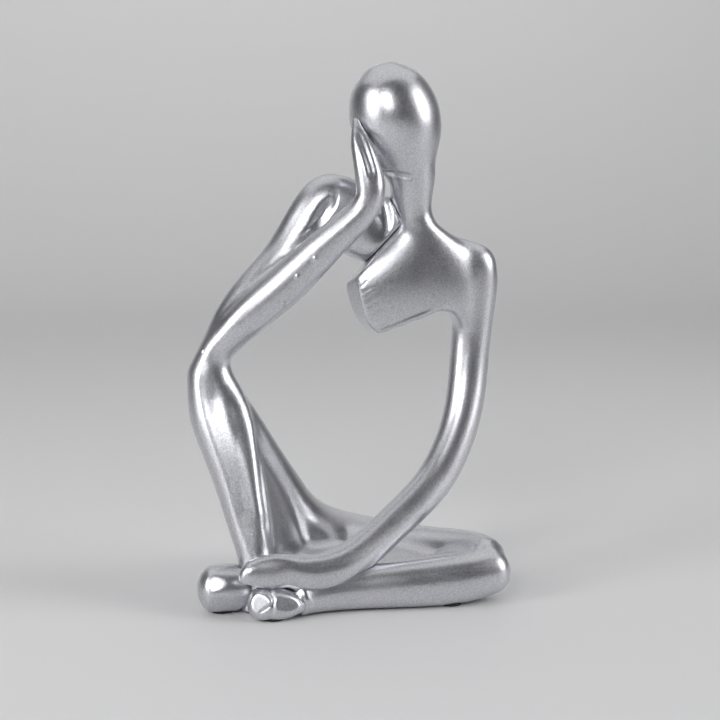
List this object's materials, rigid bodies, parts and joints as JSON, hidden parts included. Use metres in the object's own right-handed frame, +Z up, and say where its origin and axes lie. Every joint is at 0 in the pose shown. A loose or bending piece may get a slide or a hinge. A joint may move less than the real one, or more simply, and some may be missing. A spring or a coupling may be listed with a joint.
{
  "type": "thinker statue",
  "caption": "Small silver resin figure with a blank egg head, seated with one knee raised, its head propped on one hand and the other arm reaching down to the ankle.",
  "frame": {"origin": "on the floor, under the middle of the figure's bounding box", "axes": "+Z up; -Y is the front, the side the picture shows; +X is the right of the front view, where the ground knee points"},
  "size_m": [0.0774, 0.06, 0.1297],
  "materials": {
    "silver_paint": "silver metallic paint on cast resin",
    "dowel_steel": "plain drawn steel",
    "pad_rubber": "soft matt"
  },
  "bodies": {
    "root": {"head": "silver_paint", "torso": "silver_paint", "propping_arm": "silver_paint", "reaching_arm": "silver_paint", "raised_leg": "silver_paint", "raised_foot": "silver_paint", "folded_leg": "silver_paint", "folded_foot": "silver_paint", "neck_dowel": "dowel_steel", "limb_dowels": "dowel_steel", "base_pads": "pad_rubber"}
  },
  "joints": []
}
